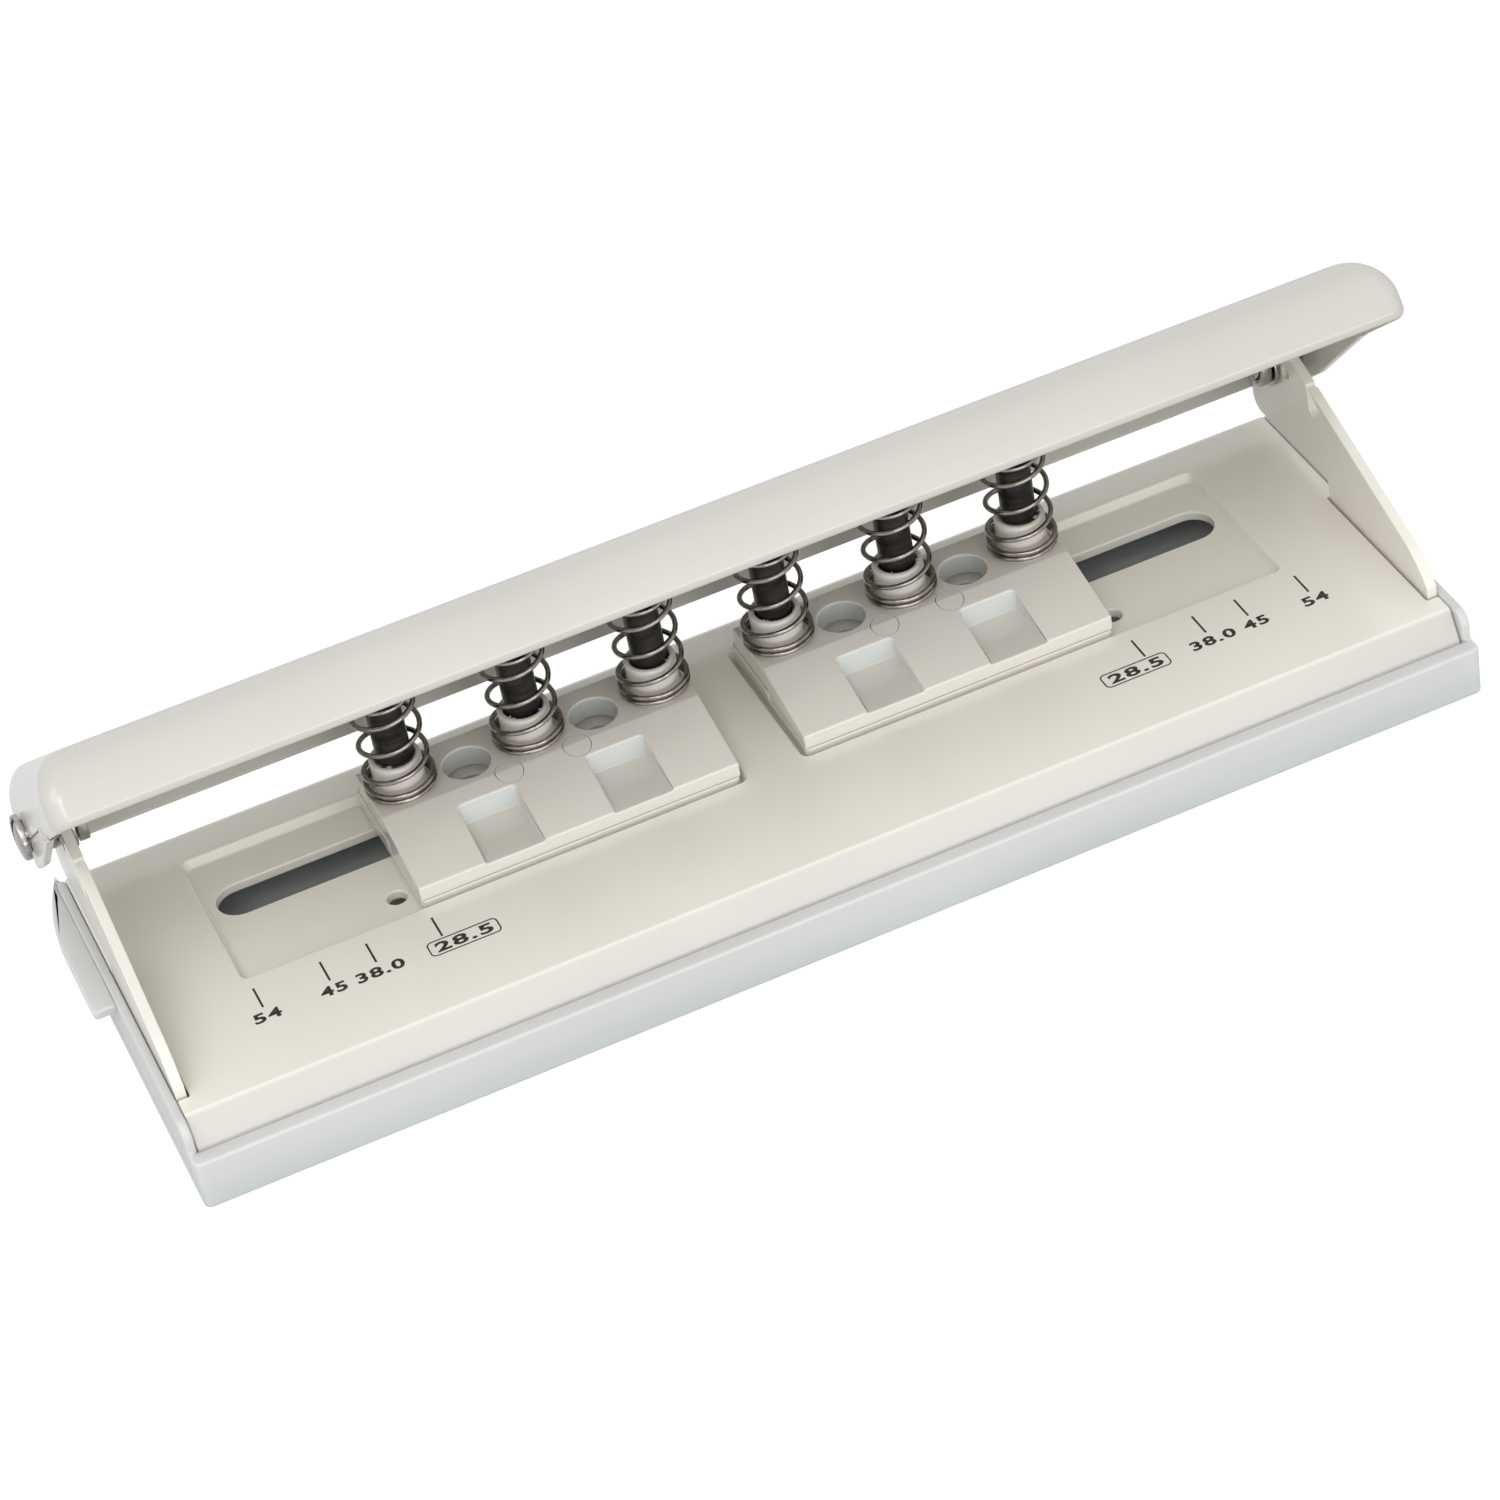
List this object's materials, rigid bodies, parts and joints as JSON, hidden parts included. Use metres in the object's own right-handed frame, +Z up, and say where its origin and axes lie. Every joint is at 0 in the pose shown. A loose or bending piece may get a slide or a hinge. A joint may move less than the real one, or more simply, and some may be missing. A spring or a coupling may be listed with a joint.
{
  "type": "hole punch",
  "caption": "Desktop hole punch with a tilting pressed-steel handle, spring-returned pins in sliding blocks, an enamelled base with scale marks and a soft chip tray.",
  "frame": {"origin": "middle of the tray's flat underside", "axes": "+X along the machine to the right as seen by its user, +Y to the back where paper goes in, +Z up"},
  "size_m": [0.198, 0.067, 0.0578],
  "materials": {
    "milky_plastic": "satin, slightly translucent",
    "enamel": "glossy stoved enamel",
    "black_steel": "blackened, oiled",
    "spring_steel": "bright drawn wire",
    "nickel": "nickel plated",
    "zinc_plate": "zinc plated"
  },
  "bodies": {
    "tray": {"chip_tray": "milky_plastic"},
    "base": {"base_plate": "enamel", "left_cheek": "enamel", "left_cheek_rivet_1": "nickel", "left_cheek_rivet_2": "nickel", "left_pivot_screw": "nickel", "left_pivot_spacer": "nickel", "left_pivot_washer": "nickel", "left_pivot_nut": "nickel", "right_cheek": "enamel", "right_cheek_rivet_1": "nickel", "right_cheek_rivet_2": "nickel", "right_pivot_screw": "nickel", "right_pivot_spacer": "nickel", "right_pivot_washer": "nickel", "right_pivot_nut": "nickel"},
    "handle": {"handle": "enamel"},
    "left_block": {"left_punch_head": "enamel", "left_die_plate": "enamel", "left_head_screw_1": "zinc_plate", "left_head_screw_2": "zinc_plate", "left_slide_plate": "zinc_plate", "left_slide_screw_1": "zinc_plate", "left_slide_screw_2": "zinc_plate", "spring_1": "spring_steel", "spring_2": "spring_steel", "spring_3": "spring_steel"},
    "right_block": {"right_punch_head": "enamel", "right_die_plate": "enamel", "right_head_screw_1": "zinc_plate", "right_head_screw_2": "zinc_plate", "right_slide_plate": "zinc_plate", "right_slide_screw_1": "zinc_plate", "right_slide_screw_2": "zinc_plate", "spring_4": "spring_steel", "spring_5": "spring_steel", "spring_6": "spring_steel"},
    "pin_1": {"punch_pin_1": "black_steel", "pin_ring_1": "black_steel"},
    "pin_2": {"punch_pin_2": "black_steel", "pin_ring_2": "black_steel"},
    "pin_3": {"punch_pin_3": "black_steel", "pin_ring_3": "black_steel"},
    "pin_4": {"punch_pin_4": "black_steel", "pin_ring_4": "black_steel"},
    "pin_5": {"punch_pin_5": "black_steel", "pin_ring_5": "black_steel"},
    "pin_6": {"punch_pin_6": "black_steel", "pin_ring_6": "black_steel"}
  },
  "joints": [
    {"name": "base_lift", "type": "slide", "parent": "tray", "child": "base", "axis": [0, 0, 1], "range_m": [0, 0.03]},
    {"name": "handle_hinge", "type": "hinge", "parent": "base", "child": "handle", "pos_m": [0, 0.02125, 0.0269], "axis": [1, 0, 0], "range_deg": [0, 40], "stiffness_Nm_per_rad": 1.577, "springref_deg": -16.33},
    {"name": "left_block_slide", "type": "slide", "parent": "base", "child": "left_block", "axis": [-1, 0, 0], "range_m": [0, 0.0255]},
    {"name": "right_block_slide", "type": "slide", "parent": "base", "child": "right_block", "axis": [1, 0, 0], "range_m": [0, 0.0255]},
    {"name": "pin_1_slide", "type": "slide", "parent": "left_block", "child": "pin_1", "axis": [0, 0, -1], "range_m": [0, 0.0086], "deforming": ["spring_1"]},
    {"name": "pin_2_slide", "type": "slide", "parent": "left_block", "child": "pin_2", "axis": [0, 0, -1], "range_m": [0, 0.0086], "deforming": ["spring_2"]},
    {"name": "pin_3_slide", "type": "slide", "parent": "left_block", "child": "pin_3", "axis": [0, 0, -1], "range_m": [0, 0.0086], "deforming": ["spring_3"]},
    {"name": "pin_4_slide", "type": "slide", "parent": "right_block", "child": "pin_4", "axis": [0, 0, -1], "range_m": [0, 0.0086], "deforming": ["spring_4"]},
    {"name": "pin_5_slide", "type": "slide", "parent": "right_block", "child": "pin_5", "axis": [0, 0, -1], "range_m": [0, 0.0086], "deforming": ["spring_5"]},
    {"name": "pin_6_slide", "type": "slide", "parent": "right_block", "child": "pin_6", "axis": [0, 0, -1], "range_m": [0, 0.0086], "deforming": ["spring_6"]}
  ],
  "couplings": [
    {"joint": "pin_1_slide", "follows": "handle_hinge", "m_per_rad": 0.012},
    {"joint": "pin_2_slide", "follows": "handle_hinge", "m_per_rad": 0.012},
    {"joint": "pin_3_slide", "follows": "handle_hinge", "m_per_rad": 0.012},
    {"joint": "pin_4_slide", "follows": "handle_hinge", "m_per_rad": 0.012},
    {"joint": "pin_5_slide", "follows": "handle_hinge", "m_per_rad": 0.012},
    {"joint": "pin_6_slide", "follows": "handle_hinge", "m_per_rad": 0.012}
  ]
}
